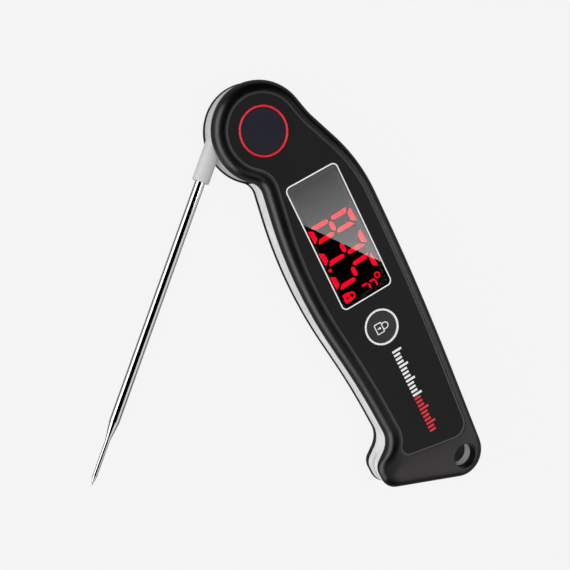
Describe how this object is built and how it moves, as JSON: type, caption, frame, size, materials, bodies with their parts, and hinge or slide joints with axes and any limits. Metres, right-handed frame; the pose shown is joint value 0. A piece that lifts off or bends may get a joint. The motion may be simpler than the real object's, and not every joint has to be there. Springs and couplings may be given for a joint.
{
  "type": "folding probe thermometer",
  "caption": "Folding kitchen and barbecue thermometer: slim handle with an LED window and a lock button, a steel probe that swings out on a hub, and a hanging hole at the tail.",
  "frame": {"origin": "on the probe hinge's axis, in the plane of the flat back that the thermometer lies on", "axes": "+X along the handle from the hinge to the tail, +Z out of the display, +Y across the handle away from the side the probe folds out of"},
  "size_m": [0.1646, 0.1331, 0.0192],
  "materials": {
    "front_shell_rubber": "soft-touch black over-mould, satin",
    "rear_shell_rubber": "soft-touch black over-mould, satin",
    "face_panel_gloss": "smooth black inlay with a fine bevel",
    "display_lens_smoked": "smoked clear window, polished",
    "led_display_black": "black LED module with red segments behind the lens",
    "accent_red": "red ring, satin gloss",
    "pivot_cap_navy": "very dark navy disc",
    "lock_button_grey": "dark grey, finely textured",
    "lock_ring_white": "white ring round the button",
    "mid_frame_light_grey": "light grey band between the shells",
    "probe_hub_light_grey": "light grey rotating hub with its arm",
    "probe_steel": "polished stainless steel tube, reduced tip",
    "sensor_glass": "glass thermistor bead",
    "lead_insulation": "insulated lead pair",
    "hinge_steel": "turned steel",
    "spring_steel": "spring steel",
    "seal_rubber": "black nitrile ring",
    "magnet_nickel": "nickel-plated magnet",
    "board_green": "green solder mask",
    "component_black": "black chip package",
    "switch_grey": "tact switch body",
    "unit_button_rubber": "black moulded button",
    "cell_wrap": "AAA cell in a plain wrap",
    "contact_nickel": "nickel-plated contact",
    "battery_cover_black": "black cover flush with the back",
    "screw_steel": "steel cross-head screw"
  },
  "bodies": {
    "handle": {"front_shell": "front_shell_rubber", "rear_shell": "rear_shell_rubber", "face_panel": "face_panel_gloss", "display_lens": "display_lens_smoked", "led_display": "led_display_black", "red_accent_ring": "accent_red", "pivot_cap": "pivot_cap_navy", "lock_button_ring": "lock_ring_white", "mid_frame": "mid_frame_light_grey", "pivot_shaft": "hinge_steel", "pivot_screw": "hinge_steel", "wave_washer": "spring_steel", "hub_seal_front": "seal_rubber", "hub_seal_rear": "seal_rubber", "battery_cover_seal": "seal_rubber", "rear_magnet_1": "magnet_nickel", "rear_magnet_2": "magnet_nickel", "circuit_board": "board_green", "microcontroller": "component_black", "reed_switch": "component_black", "lock_switch": "switch_grey", "unit_switch": "switch_grey", "battery_cell": "cell_wrap", "battery_contact": "contact_nickel", "battery_spring": "contact_nickel", "battery_cover": "battery_cover_black", "cover_screw": "screw_steel", "housing_screw_1": "screw_steel", "housing_screw_2": "screw_steel", "housing_screw_3": "screw_steel", "housing_screw_4": "screw_steel"},
    "probe": {"probe_hub": "probe_hub_light_grey", "probe_tube": "probe_steel", "sensor_bead": "sensor_glass", "sensor_lead": "lead_insulation", "wake_magnet": "magnet_nickel"},
    "lock_button": {"lock_button": "lock_button_grey"},
    "unit_button": {"unit_button": "unit_button_rubber"}
  },
  "joints": [
    {"name": "probe_hinge", "type": "hinge", "parent": "handle", "child": "probe", "pos_m": [0, 0, 0.0103], "axis": [0, 0, -1], "range_deg": [-48.25, 131.75]},
    {"name": "lock_press", "type": "slide", "parent": "handle", "child": "lock_button", "axis": [0, 0, -1], "range_m": [0, 0.0004], "stiffness_N_per_m": 2500},
    {"name": "unit_press", "type": "slide", "parent": "handle", "child": "unit_button", "axis": [0, 0, 1], "range_m": [0, 0.0004], "stiffness_N_per_m": 2500}
  ]
}
